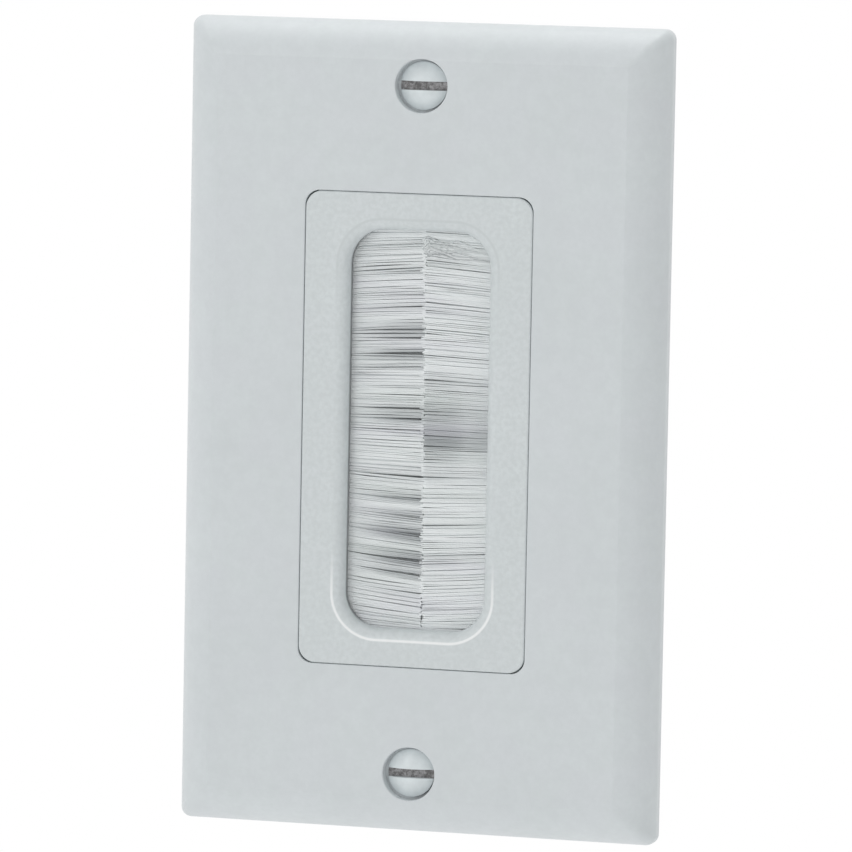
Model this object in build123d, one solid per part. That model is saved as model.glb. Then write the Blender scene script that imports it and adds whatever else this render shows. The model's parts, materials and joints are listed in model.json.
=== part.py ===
from build123d import *
import math
import os

# Brush wall plate insert: a one-gang cover plate round an insert with a bristle-filled window.
# +X is right, +Z is up, the front faces -Y and the wall plane is Y = 0.
# The origin is midway between the two box screws. All sizes are in millimetres.

# Cover plate
plate_w = 69.85
plate_h = 114.3
plate_t = 6.35
plate_corner_r = 1.5
bevel_w = 5.2
bevel_drop = 5.05
shoulder_r = 1.6
shoulder_tilt = 75
plate_wall = 2.2
plate_rim = 2.0
pocket_corner_r = 2.5
pocket_chamfer = 1.4
opening_edge_r = 0.2
collar_t = 1.2
collar_h = 1.0
rib_t = 1.0
rib_h = 1.6
side_rib_z = 15.0
end_rib_x = 21.0
end_rib_gap = 3.0

# Plate screws, #6-32 oval head, a standard 96.84 apart
plate_screw_inset = 8.73
plate_screw_len = 12.7
plate_head_r = 3.4
plate_head_sink = 1.5
plate_head_rise = 0.9
plate_head_edge = 0.25
plate_slot_w = 1.25
plate_slot_depth = 1.15
sink_gap = 0.38
seat_gap = 0.03
csk_angle = 82
boss_root_r = 3.3
boss_tip_r = 2.8
plate_hole_r = 1.95

# Thread size shared by the plate screws and the box screws
thread_r = 1.75
thread_gap = 0.03
tip_chamfer = 0.5

# Insert frame: face, strap and body in one moulding
insert_w = 33.0
insert_corner_r = 2.4
corner_ease = 0.3
insert_edge_r = 0.3
insert_gap = 0.06
stile_w = 6.25
rail_h = 5.19
window_corner_r = 5.0
lip_r = 1.5
strap_w = 30.0
strap_end = 4.58
strap_t = 2.0
strap_corner_r = 4.0
strap_edge_r = 0.3
body_wall = 2.5
body_step = 7.17
body_ledge = 1.16
body_corner_r = 3.0
body_edge_r = 0.5
window_wall = 0.7

# Bristle packs, their channels and core wires
brush_depth = 2.95
pack_t = 1.9
pack_cover = 0.8
pack_gap = 0.1
finger_count = 58
finger_gap = 0.12
finger_ridge = 0.35
finger_embed = 0.5
tip_gap = 0.12
tip_wander = 0.12
tip_phase = 2.4
fan_rise = 0.5
meeting_x = 0.38
meeting_lean = 0.24
channel_w = 4.0
channel_t = 3.2
channel_over = 1.0
channel_bend_r = 0.8
sheet_t = 0.5
mouth_lip = 0.35
wire_r = 0.45
fold_gap = 0.05
pocket_gap = 0.1

# Rear retainer and its screws
retainer_t = 2.2
retainer_gap = 0.1
retainer_wall = 1.4
retainer_corner_r = 2.0
retainer_collar_t = 1.2
retainer_collar_h = 1.0
retainer_edge_r = 0.3
retainer_screw_x = 7.0
retainer_screw_inset = 2.1
retainer_screw_len = 6.0
retainer_shank_r = 0.85
retainer_head_r = 1.8
retainer_head_h = 1.3
retainer_hole_r = 1.1
recess_cross_w = 0.5
recess_cross_len = 2.2
recess_cross_depth = 0.7
pilot_extra = 0.4

# Box screws, #6-32 pan head, a standard 83.34 apart, with their fibre washers
box_screw_step = 6.75
box_screw_len = 31.75
box_head_r = 3.2
box_head_h = 1.9
box_head_edge = 0.7
box_slot_w = 1.1
box_slot_depth = 1.0
neck_r = 1.4
washer_r = 3.4
washer_t = 0.8
washer_bore_r = 1.5
washer_gap = 0.15
strap_slot_w = 4.2
strap_slot_len = 6.0

# Threaded bushes in the strap, which take the plate screws
bush_r = 2.6
flange_r = 3.2
flange_t = 0.5

# Levels along Y that several pieces share
face_y = -plate_t
ceiling_y = face_y + plate_wall
strap_y = -strap_t
brush_front_y = face_y + brush_depth
wall_foot_y = brush_front_y - pack_gap
brush_rear_y = brush_front_y + pack_t
brush_mid_y = brush_front_y + pack_t / 2
channel_front_y = brush_mid_y - channel_t / 2
channel_rear_y = brush_mid_y + channel_t / 2
body_rear_y = channel_rear_y + retainer_t

# Lengths along Z, each from the one outside it
plate_screw_spacing = plate_h - 2 * plate_screw_inset
box_screw_spacing = plate_screw_spacing - 2 * box_screw_step
strap_h = plate_screw_spacing + 2 * strap_end
body_h = box_screw_spacing - 2 * body_step
insert_h = body_h - 2 * body_ledge
window_h = insert_h - 2 * rail_h
pack_len = window_h + 2 * pack_cover
channel_len = pack_len + 2 * channel_over

# Places across X and Z that several pieces share
window_w = insert_w - 2 * stile_w
wall_x = window_w / 2
pocket_x = wall_x + window_wall
mouth_x = pocket_x + pocket_gap
channel_back_x = mouth_x + channel_w
pack_root_half = channel_t / 2 - sheet_t - fold_gap
pack_neck_half = pack_root_half - mouth_lip
wire_x = channel_back_x - sheet_t - fold_gap - pack_root_half
pack_reach_z = pack_len / 2 + pack_gap
body_w = 2 * (channel_back_x + pocket_gap + body_wall)
recess_w = body_w - 2 * retainer_wall
recess_h = body_h - 2 * retainer_wall
retainer_screw_z = (recess_h - 2 * retainer_gap) / 2 - retainer_screw_inset
opening_w = insert_w + 2 * insert_gap
opening_h = insert_h + 2 * insert_gap
opening_corner_r = insert_corner_r - corner_ease
overrun = 1.0


def slab(outline, front, back):
    """An outline in X and Z, made solid between two levels of Y."""
    return extrude(Plane.XZ.offset(-back) * outline, back - front)


def rod(radius, front, back, x=0.0, z=0.0):
    return slab(Pos(x, z) * Circle(radius), front, back)


def block(x0, x1, y0, y1, z0, z1):
    centre = Pos((x0 + x1) / 2, (y0 + y1) / 2, (z0 + z1) / 2)
    return centre * Box(x1 - x0, y1 - y0, z1 - z0)


def turned(lines):
    """A profile of radius against Y, turned about the Y axis."""
    return revolve(make_face(lines), Axis.Y)


def both(shape):
    """A shape and its mirror image across X = 0."""
    return shape + mirror(shape, Plane.YZ)


def side_of(shape, sign):
    """A shape modelled on the right, or its mirror image on the left."""
    if sign > 0:
        return shape
    return mirror(shape, Plane.YZ)


def crowned_bar(width, length):
    """A bar along Z with the plate's section: straight sides, small round shoulders and a curved bevel."""
    half = width / 2
    side_y = face_y + bevel_drop
    tilt = math.radians(shoulder_tilt)
    shoulder_end = (half - shoulder_r * (1 - math.sin(tilt)), side_y - shoulder_r * math.cos(tilt))
    crease = (half - bevel_w, face_y)
    side = Line((half, 0), (half, side_y))
    shoulder = TangentArc(side @ 1, shoulder_end, tangent=(0, -1))
    bevel = TangentArc(shoulder @ 1, crease, tangent=shoulder % 1)
    edge = side + shoulder + bevel
    face = Line(crease, (-crease[0], face_y))
    base = Line((half, 0), (-half, 0))
    section = make_face(edge + mirror(edge, Plane.YZ) + face + base)
    return extrude(section, length / 2, both=True)


def plate_blank():
    """The plate's outer form, with one round running up each corner from the wall to the face."""
    upright = crowned_bar(plate_w, plate_h)
    level = Rot(0, 90, 0) * crowned_bar(plate_h, plate_w)
    blank = upright & level
    corners = []
    for edge in blank.edges():
        middle = edge @ 0.5
        beside = abs(middle.X) > plate_w / 2 - bevel_w
        above = abs(middle.Z) > plate_h / 2 - bevel_w
        if beside and above:
            corners.append(edge)
    return fillet(corners, plate_corner_r)


def plate_ribs():
    """Ribs across the hollow back, beside the opening and beside each screw boss."""
    top_y = ceiling_y + rib_h
    end_in = opening_h / 2 + end_rib_gap
    ribs = []
    for z in (-side_rib_z, side_rib_z):
        ribs.append(block(opening_w / 2, plate_w / 2, face_y, top_y, z - rib_t / 2, z + rib_t / 2))
    for low, high in ((-plate_h / 2, -end_in), (end_in, plate_h / 2)):
        ribs.append(block(end_rib_x - rib_t / 2, end_rib_x + rib_t / 2, face_y, top_y, low, high))
    return both(ribs[0] + ribs[1:])


def plate_hollow():
    """The pocket in the plate's back, less the ribs, collar and bosses that stand in it."""
    outline = RectangleRounded(plate_w - 2 * plate_rim, plate_h - 2 * plate_rim, pocket_corner_r)
    pocket = slab(outline, ceiling_y, overrun)
    pocket = chamfer(pocket.edges().group_by(Axis.Y)[0], pocket_chamfer)
    collar = RectangleRounded(opening_w + 2 * collar_t, opening_h + 2 * collar_t,
                              opening_corner_r + collar_t)
    pocket -= slab(collar, face_y, ceiling_y + collar_h)
    pocket -= plate_ribs()
    for z in (-plate_screw_spacing / 2, plate_screw_spacing / 2):
        pocket -= Pos(0, 0, z) * screw_boss()
    return pocket


def screw_sink():
    """The hole for a plate screw: a round recess, a cone that seats the head, and a clear hole."""
    seat_r = plate_head_r + seat_gap
    step_y = face_y + plate_head_sink + plate_head_edge
    cone_y = step_y + (seat_r - plate_hole_r) / math.tan(math.radians(csk_angle / 2))
    recess_r = plate_head_r + sink_gap
    outline = Polyline(
        (0, face_y - overrun),
        (recess_r, face_y - overrun),
        (recess_r, step_y),
        (seat_r, step_y),
        (plate_hole_r, cone_y),
        (plate_hole_r, overrun),
        (0, overrun),
        close=True,
    )
    return turned(outline)


def screw_boss():
    """The boss behind the plate's face that stands on the strap."""
    outline = Polyline((0, face_y), (boss_root_r, face_y), (boss_root_r, ceiling_y),
                       (boss_tip_r, strap_y), (0, strap_y), close=True)
    return turned(outline)


def front_rims(shape, half_w, half_h):
    """Edges on the front face that lie inside the given half width and half height."""
    front = shape.edges().filter_by_position(Axis.Y, face_y, face_y)
    inside = front.filter_by_position(Axis.X, -half_w, half_w)
    return inside.filter_by_position(Axis.Z, -half_h, half_h)


def wall_plate():
    plate = plate_blank() - plate_hollow()
    opening = RectangleRounded(opening_w, opening_h, opening_corner_r)
    plate -= slab(opening, face_y - overrun, overrun)
    for z in (-plate_screw_spacing / 2, plate_screw_spacing / 2):
        plate -= Pos(0, 0, z) * screw_sink()
    rim_half_h = plate_screw_spacing / 2 + plate_head_r + sink_gap + opening_edge_r
    return fillet(front_rims(plate, opening_w / 2 + insert_gap, rim_half_h), opening_edge_r)


def plate_screw():
    """Oval head with a straight slot, countersunk below, on a plain shank."""
    edge_y = face_y + plate_head_sink
    cone_top_y = edge_y + plate_head_edge
    cone_y = cone_top_y + (plate_head_r - thread_r) / math.tan(math.radians(csk_angle / 2))
    tip_y = edge_y + plate_screw_len
    top_y = edge_y - plate_head_rise
    dome_r = (plate_head_r ** 2 + plate_head_rise ** 2) / (2 * plate_head_rise)
    centre_y = top_y + dome_r
    half_r = plate_head_r / 2
    mid = (half_r, centre_y - math.sqrt(dome_r ** 2 - half_r ** 2))
    dome = ThreePointArc((0, top_y), mid, (plate_head_r, edge_y))
    flank = Polyline((plate_head_r, edge_y), (plate_head_r, cone_top_y), (thread_r, cone_y),
                     (thread_r, tip_y - tip_chamfer), (thread_r - tip_chamfer, tip_y),
                     (0, tip_y), (0, top_y))
    screw = turned(dome + flank)
    slot_floor = top_y + plate_slot_depth
    half_w = plate_slot_w / 2
    reach = plate_head_r + overrun
    return screw - block(-reach, reach, top_y - overrun, slot_floor, -half_w, half_w)


def strap():
    """The mounting strap with its holes for box screws, washers and threaded bushes."""
    bar = slab(RectangleRounded(strap_w, strap_h, strap_corner_r), strap_y, 0)
    levels = bar.edges().group_by(Axis.Y)
    bar = fillet(levels[0] + levels[-1], strap_edge_r)
    slot = SlotOverall(strap_slot_len, strap_slot_w)
    for z in (-box_screw_spacing / 2, box_screw_spacing / 2):
        bar -= slab(Pos(0, z) * slot, strap_y - overrun, overrun)
        bar -= rod(washer_r + washer_gap, -washer_t, overrun, z=z)
    for z in (-plate_screw_spacing / 2, plate_screw_spacing / 2):
        bar -= rod(bush_r, strap_y - overrun, overrun, z=z)
        bar -= rod(flange_r, strap_y - overrun, strap_y + flange_t, z=z)
    return bar


def insert_face():
    outline = RectangleRounded(insert_w, insert_h, insert_corner_r)
    face = slab(outline, face_y, strap_y)
    return fillet(face.edges().group_by(Axis.Y)[0], insert_edge_r)


def insert_body():
    """The block behind the face that holds the brushes."""
    body = slab(RectangleRounded(body_w, body_h, body_corner_r), strap_y, body_rear_y)
    return fillet(body.edges().group_by(Axis.Y)[-1], body_edge_r)


def insert_frame():
    frame = insert_face() + insert_body() + strap()
    window = RectangleRounded(window_w, window_h, window_corner_r)
    frame -= slab(window, face_y - overrun, body_rear_y + overrun)
    lip_edges = front_rims(frame, window_w / 2 + pack_gap, window_h / 2 + pack_gap)
    frame = fillet(lip_edges, lip_r)
    recess = RectangleRounded(recess_w, recess_h, retainer_corner_r + retainer_gap)
    frame -= slab(recess, channel_rear_y, body_rear_y + overrun)
    frame -= block(-pocket_x, pocket_x, wall_foot_y, channel_rear_y + overrun,
                   -pack_reach_z, pack_reach_z)
    pocket_half_z = channel_len / 2 + pocket_gap
    frame -= both(block(pocket_x, channel_back_x + pocket_gap, channel_front_y - pocket_gap,
                        channel_rear_y + overrun, -pocket_half_z, pocket_half_z))
    pilot_y = body_rear_y - retainer_screw_len - pilot_extra
    pilot_r = retainer_shank_r + thread_gap
    for x, z in retainer_screw_places():
        frame -= rod(pilot_r, pilot_y, body_rear_y, x, z)
    return frame


def retainer_screw_places():
    return [(x, z) for z in (retainer_screw_z, -retainer_screw_z)
            for x in (-retainer_screw_x, retainer_screw_x)]


def rear_retainer():
    """The back frame: it holds the channels in their pockets, with a lip behind each bristle root."""
    outline = RectangleRounded(recess_w - 2 * retainer_gap, recess_h - 2 * retainer_gap,
                               retainer_corner_r)
    retainer = slab(outline, channel_rear_y, body_rear_y)
    collar_outline = RectangleRounded(window_w + 2 * retainer_collar_t,
                                      window_h + 2 * retainer_collar_t,
                                      window_corner_r + retainer_collar_t)
    collar = slab(collar_outline, channel_rear_y, body_rear_y + retainer_collar_h)
    retainer += fillet(collar.edges().group_by(Axis.Y)[-1], retainer_edge_r)
    lip_half_z = pack_reach_z - pack_gap
    retainer += both(block(wall_x, pocket_x - pocket_gap, brush_rear_y + pack_gap,
                           channel_rear_y + retainer_t / 2, -lip_half_z, lip_half_z))
    window = RectangleRounded(window_w, window_h, window_corner_r)
    retainer -= slab(window, channel_front_y, body_rear_y + retainer_collar_h + overrun)
    for x, z in retainer_screw_places():
        retainer -= rod(retainer_hole_r, channel_rear_y - overrun, body_rear_y, x, z)
        retainer -= rod(retainer_head_r + retainer_gap, body_rear_y,
                        body_rear_y + retainer_collar_h + overrun, x, z)
    return retainer


def retainer_screw(x, z):
    """Pan head with a cross recess, pointing forward into the frame."""
    head_y = body_rear_y + retainer_head_h
    tip_y = body_rear_y - retainer_screw_len
    head = rod(retainer_head_r, body_rear_y, head_y)
    head = fillet(head.edges().group_by(Axis.Y)[-1], retainer_head_h / 2)
    half_len = recess_cross_len / 2
    half_w = recess_cross_w / 2
    floor_y = head_y - recess_cross_depth
    head -= block(-half_len, half_len, floor_y, head_y + overrun, -half_w, half_w)
    head -= block(-half_w, half_w, floor_y, head_y + overrun, -half_len, half_len)
    shank = Polyline((0, tip_y), (retainer_shank_r, tip_y + 2 * retainer_shank_r),
                     (retainer_shank_r, body_rear_y), (0, body_rear_y), close=True)
    return Pos(x, 0, z) * (head + turned(shank))


def brush_channel(sign):
    """Folded sheet channel, open towards the middle, its mouth lips turned in."""
    outer = block(mouth_x, channel_back_x, channel_front_y, channel_rear_y,
                  -channel_len / 2, channel_len / 2)
    back_edges = outer.edges().filter_by(Axis.Z).group_by(Axis.X)[-1]
    outer = fillet(back_edges, channel_bend_r)
    inner_half = channel_t / 2 - sheet_t
    end = channel_len / 2 + overrun
    inner = block(mouth_x + sheet_t, channel_back_x - sheet_t, brush_mid_y - inner_half,
                  brush_mid_y + inner_half, -end, end)
    mouth_half = inner_half - mouth_lip
    mouth = block(mouth_x - overrun, mouth_x + 2 * sheet_t, brush_mid_y - mouth_half,
                  brush_mid_y + mouth_half, -end, end)
    return side_of(outer - inner - mouth, sign)


def core_wire(sign):
    """The wire that the bristles are folded round, as long as the channel."""
    wire = extrude(Pos(wire_x, brush_mid_y) * Circle(wire_r), channel_len / 2, both=True)
    return side_of(wire, sign)


def bristle_root():
    """The folded roots: round behind the wire, full in the channel and pinched in its mouth."""
    neck_x = mouth_x + sheet_t + fold_gap
    section = Pos(wire_x, brush_mid_y) * Circle(pack_root_half)
    section += Pos((wire_x + neck_x) / 2, brush_mid_y) * Rectangle(wire_x - neck_x, 2 * pack_root_half)
    section += Pos((neck_x + mouth_x) / 2 - finger_embed, brush_mid_y) * Rectangle(
        neck_x - mouth_x + 2 * finger_embed, 2 * pack_neck_half)
    section -= Pos(wire_x, brush_mid_y) * Circle(wire_r + fold_gap)
    return extrude(section, pack_len / 2, both=True)


def bristle_finger(root_x, root_z, tip_x, tip_z, width):
    """One tuft: a bar with a ridge along its front and back, straight from root to tip."""
    half_w = width / 2
    half_t = pack_t / 2
    flat = half_t - finger_ridge
    section = Polygon((-flat, -half_w), (flat, -half_w), (half_t, 0), (flat, half_w),
                      (-flat, half_w), (-half_t, 0), align=None)
    run = Vector(tip_x - root_x, 0, tip_z - root_z)
    start = Plane(origin=(root_x, brush_mid_y, root_z), x_dir=(0, 1, 0), z_dir=run.normalized())
    return extrude(start * section, run.length)


def bristles(sign):
    """A pack of tufts that fan out a little towards the middle and end in an uneven edge."""
    pitch = pack_len / finger_count
    width = pitch - finger_gap
    root_x = pocket_x
    tufts = []
    for i in range(finger_count):
        root_z = (i + 0.5) * pitch - pack_len / 2
        share = root_z / (pack_len / 2)
        tip_z = root_z + fan_rise * share * (1 - abs(share)) * 2
        meeting = meeting_x - meeting_lean * share + tip_wander * math.sin(tip_phase * i)
        tip_x = tip_gap / 2 + sign * meeting
        tufts.append(bristle_finger(root_x, root_z, tip_x, tip_z, width))
    return side_of(bristle_root() + tufts, sign)


def box_screw():
    """Pan head with a slot, a plain neck through the strap and a full shank behind the wall plane."""
    top_y = strap_y - box_head_h
    edge_y = strap_y - box_head_edge
    tip_y = strap_y + box_screw_len
    rise = edge_y - top_y
    dome_r = (box_head_r ** 2 + rise ** 2) / (2 * rise)
    half_r = box_head_r / 2
    mid = (half_r, top_y + dome_r - math.sqrt(dome_r ** 2 - half_r ** 2))
    dome = ThreePointArc((0, top_y), mid, (box_head_r, edge_y))
    flank = Polyline((box_head_r, edge_y), (box_head_r, strap_y), (neck_r, strap_y), (neck_r, 0),
                     (thread_r, 0), (thread_r, tip_y - tip_chamfer),
                     (thread_r - tip_chamfer, tip_y), (0, tip_y), (0, top_y))
    half_w = box_slot_w / 2
    reach = box_head_r + overrun
    slot = block(-reach, reach, top_y - overrun, top_y + box_slot_depth, -half_w, half_w)
    return turned(dome + flank) - slot


def box_screw_washer():
    """Fibre washer let into the back of the strap, which keeps the box screw from dropping out."""
    return rod(washer_r, -washer_t, 0) - rod(washer_bore_r, -washer_t - overrun, overrun)


def plate_bush():
    """Threaded bush pressed into the strap, with a flange in front."""
    bush = rod(bush_r, strap_y, 0) + rod(flange_r, strap_y, strap_y + flange_t)
    return bush - rod(thread_r + thread_gap, strap_y - overrun, overrun)


def parts():
    named = {
        "wall_plate": wall_plate(),
        "insert_frame": insert_frame(),
        "rear_retainer": rear_retainer(),
    }
    for side, sign in (("left", -1), ("right", 1)):
        named[side + "_brush_channel"] = brush_channel(sign)
        named[side + "_core_wire"] = core_wire(sign)
        named[side + "_bristles"] = bristles(sign)
    for end, sign in (("upper", 1), ("lower", -1)):
        plate_place = Pos(0, 0, sign * plate_screw_spacing / 2)
        box_place = Pos(0, 0, sign * box_screw_spacing / 2)
        named[end + "_plate_screw"] = plate_place * plate_screw()
        named[end + "_plate_bush"] = plate_place * plate_bush()
        named[end + "_box_screw"] = box_place * box_screw()
        named[end + "_box_screw_washer"] = box_place * box_screw_washer()
    corners = ("upper_left", "upper_right", "lower_left", "lower_right")
    for corner, (x, z) in zip(corners, retainer_screw_places()):
        named[corner + "_retainer_screw"] = retainer_screw(x, z)
    return named


os.makedirs("parts", exist_ok=True)
for name, shape in parts().items():
    export_step(shape, "parts/" + name + ".step")
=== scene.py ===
import json
import math

import bmesh
import bpy
import numpy as np
from mathutils import Matrix, Vector

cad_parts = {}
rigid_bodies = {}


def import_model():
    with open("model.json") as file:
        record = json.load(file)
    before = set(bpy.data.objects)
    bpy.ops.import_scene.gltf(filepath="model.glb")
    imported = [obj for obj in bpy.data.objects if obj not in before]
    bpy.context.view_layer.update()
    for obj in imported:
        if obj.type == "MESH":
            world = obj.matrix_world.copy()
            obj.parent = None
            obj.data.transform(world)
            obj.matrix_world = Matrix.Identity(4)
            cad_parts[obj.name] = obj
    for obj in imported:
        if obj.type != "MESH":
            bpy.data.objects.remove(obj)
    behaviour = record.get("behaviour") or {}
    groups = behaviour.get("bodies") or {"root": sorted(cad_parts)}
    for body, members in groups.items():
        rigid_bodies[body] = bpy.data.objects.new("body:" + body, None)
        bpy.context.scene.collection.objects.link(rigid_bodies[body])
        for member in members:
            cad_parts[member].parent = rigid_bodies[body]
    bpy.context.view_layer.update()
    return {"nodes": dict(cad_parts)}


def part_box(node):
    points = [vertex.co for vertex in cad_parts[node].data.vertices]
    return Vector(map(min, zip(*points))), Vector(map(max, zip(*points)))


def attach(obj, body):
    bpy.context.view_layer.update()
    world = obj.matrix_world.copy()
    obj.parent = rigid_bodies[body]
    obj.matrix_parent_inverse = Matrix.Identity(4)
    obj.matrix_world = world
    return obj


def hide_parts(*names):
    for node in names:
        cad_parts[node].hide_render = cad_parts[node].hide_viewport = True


bl_info = {
    "name": "Brush wall plate dressing",
    "version": (1, 0, 0),
    "blender": (4, 5, 0),
    "location": "View3D > Sidebar > Brush plate",
    "description": "Dresses the brush wall plate with bristles, threads, finishes and light",
    "category": "Object",
}

for leftover in list(bpy.data.objects):
    bpy.data.objects.remove(leftover)
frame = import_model()

MM = 0.001
ENDS = ("upper", "lower")
SIDES = {"left": -1, "right": 1}

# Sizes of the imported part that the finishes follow: the face, the plate screws' height, and half
# the window's width and height with the radii of its corners and its rim
FACE_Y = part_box("wall_plate")[0].y
SCREW_Z = sum(corner.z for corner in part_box("upper_plate_screw")) / 2
WINDOW_HALF_X = 10.25 * MM
WINDOW_HALF_Z = 28.15 * MM
WINDOW_CORNER = 5.0 * MM
WINDOW_RIM = 1.5 * MM

# The painted shade on the floor of the screw recesses: the radii and the depths behind the face
# where it fades
RECESS_RADII = (3.86 * MM, 3.80 * MM)
RECESS_START = (1.1 * MM, 1.5 * MM)
RECESS_END = (2.15 * MM, 2.0 * MM)

# The plate screws: the slot's sides from its middle, and the depths behind the face at which the
# slot's floor starts, the paint ends and the new shank begins
SLOT_EDGE = (0.66 * MM, 0.60 * MM)
SLOT_FLOOR = (1.55 * MM, 1.7 * MM)
PAINT_END = (1.9 * MM, 2.0 * MM)
SCREW_NECK = 3.4 * MM

# Colours that no setting holds
# Painted shade for the screw recesses' floors and the foot of the window's left wall
PAINTED_SHADE_COLOUR = (0.10, 0.105, 0.11)
# A painted highlight for the lower edge of the window's rim
PAINTED_HIGHLIGHT_COLOUR = (0.93, 0.94, 0.94)
LILAC_NYLON = (0.72, 0.70, 0.78)
GREEN_NYLON = (0.68, 0.74, 0.71)
BARE_SLOT = ((0.115, 0.112, 0.112), (0.34, 0.335, 0.34))
SLOT_SPECKS = (0.05, 0.055, 0.05)
FIBRE = ((0.14, 0.045, 0.03), (0.25, 0.10, 0.065))
ALUMINIUM = (0.74, 0.75, 0.76)
WIRE = (0.50, 0.50, 0.50)
BRASS = (0.72, 0.52, 0.22)
SMALL_SCREW_ZINC = (0.56, 0.57, 0.585)

# The lamps: the place of each, seen from the camera's target, and its width, in metres
LAMPS = {
    "top": ((0, -0.05, 1.0), 0.7),
    "back": ((0, 0.30, 0.95), 0.7),
    "front": ((-0.36, -0.89, 0.27), 0.4),
}
FLOOR_SIZE = 6.0
FLOOR_PAINT = (0.92, 0.92, 0.92, 1)
FLOOR_GLOW = 0.6
WHITE = (1, 1, 1, 1)
SENSOR_WIDTH = 36


# Settings that a user would change


class PlasticSettings(bpy.types.PropertyGroup):
    """Colours and grain of the moulded plastic pieces."""

    plate_colour: bpy.props.FloatVectorProperty(
        name="Plate colour", description="Satin white of the cover plate",
        subtype="COLOR", size=3, min=0, max=1, default=(0.633, 0.674, 0.686))
    insert_colour: bpy.props.FloatVectorProperty(
        name="Insert colour", description="Satin white of the insert and its back frame",
        subtype="COLOR", size=3, min=0, max=1, default=(0.645, 0.690, 0.697))
    plate_grain: bpy.props.FloatProperty(
        name="Plate grain", description="Size of the plate's faint surface waves",
        subtype="DISTANCE", unit="LENGTH", default=0.9 * MM)
    insert_grain: bpy.props.FloatProperty(
        name="Insert grain", description="Size of the insert's orange-peel waves",
        subtype="DISTANCE", unit="LENGTH", default=1.1 * MM)


class BristleSettings(bpy.types.PropertyGroup):
    """Sizes and colours of the two bristle packs."""

    strand_radius: bpy.props.FloatProperty(
        name="Strand radius", description="Radius of one nylon bristle",
        subtype="DISTANCE", unit="LENGTH", default=0.112 * MM)
    pitch: bpy.props.FloatProperty(
        name="Pitch", description="Distance between neighbouring roots in one layer",
        subtype="DISTANCE", unit="LENGTH", default=0.185 * MM)
    upper_fan: bpy.props.FloatProperty(
        name="Upper fan", description="How far the tips of the upper half rise above their roots",
        subtype="DISTANCE", unit="LENGTH", default=1.5 * MM)
    lower_fan: bpy.props.FloatProperty(
        name="Lower fan", description="How far the tips of the lower half drop below their roots",
        subtype="DISTANCE", unit="LENGTH", default=1.9 * MM)
    light_colour: bpy.props.FloatVectorProperty(
        name="Light nylon", description="Milky nylon at the front of the pack",
        subtype="COLOR", size=3, min=0, max=1, default=(0.885, 0.92, 0.925))
    deep_colour: bpy.props.FloatVectorProperty(
        name="Deep nylon", description="Nylon deep in the pack, where little light reaches it",
        subtype="COLOR", size=3, min=0, max=1, default=(0.36, 0.385, 0.395))
    seed: bpy.props.IntProperty(
        name="Seed", description="Start of the random spread of the bristles", default=11)


class ScrewSettings(bpy.types.PropertyGroup):
    """Thread sizes and finishes of the screws."""

    pitch: bpy.props.FloatProperty(
        name="Thread pitch", description="Rise of one turn of the thread",
        subtype="DISTANCE", unit="LENGTH", default=0.794 * MM)
    crest_radius: bpy.props.FloatProperty(
        name="Crest radius", description="Outer radius of the thread",
        subtype="DISTANCE", unit="LENGTH", default=1.73 * MM)
    core_radius: bpy.props.FloatProperty(
        name="Core radius", description="Radius of the shank between the threads",
        subtype="DISTANCE", unit="LENGTH", default=1.38 * MM)
    paint_colour: bpy.props.FloatVectorProperty(
        name="Head paint", description="White paint on the plate screws' heads",
        subtype="COLOR", size=3, min=0, max=1, default=(0.70, 0.755, 0.77))
    zinc_colour: bpy.props.FloatVectorProperty(
        name="Zinc", description="Zinc plating on the screws",
        subtype="COLOR", size=3, min=0, max=1, default=(0.44, 0.45, 0.46))


class StageSettings(bpy.types.PropertyGroup):
    """Camera, lamps and floor."""

    azimuth: bpy.props.FloatProperty(
        name="Azimuth", description="How far round to the right the camera stands",
        subtype="ANGLE", unit="ROTATION", default=math.radians(15.975))
    elevation: bpy.props.FloatProperty(
        name="Elevation", description="How far above the object the camera stands",
        subtype="ANGLE", unit="ROTATION", default=math.radians(5.813))
    roll: bpy.props.FloatProperty(
        name="Roll", description="Turn of the camera about its view direction",
        subtype="ANGLE", unit="ROTATION", default=math.radians(1.084))
    distance: bpy.props.FloatProperty(
        name="Distance", description="Camera's distance from its target",
        subtype="DISTANCE", unit="LENGTH", default=1.007)
    target: bpy.props.FloatVectorProperty(
        name="Target", description="Point that the camera looks at",
        subtype="XYZ", unit="LENGTH", size=3, default=(0.63 * MM, -2.8 * MM, 0.531 * MM))
    lens: bpy.props.FloatProperty(
        name="Lens", description="Focal length in millimetres", subtype="NONE", default=303.07)
    sky: bpy.props.FloatProperty(
        name="Sky", description="Strength of the even light from all round", default=0.62)
    left_sky: bpy.props.FloatProperty(
        name="Left sky", description="How much brighter the light from the far left is",
        default=0.37)
    top: bpy.props.FloatProperty(
        name="Top lamp", description="Power of the soft lamp right above",
        unit="POWER", default=1.5)
    back: bpy.props.FloatProperty(
        name="Back lamp", description="Power of the soft lamp above and a little behind",
        unit="POWER", default=2.4)
    front: bpy.props.FloatProperty(
        name="Front lamp", description="Power of the smaller lamp in front",
        unit="POWER", default=0.95)
    floor_drop: bpy.props.FloatProperty(
        name="Floor drop", description="Distance of the floor below the object's middle",
        subtype="DISTANCE", unit="LENGTH", default=0.14)


# Shader maths


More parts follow.
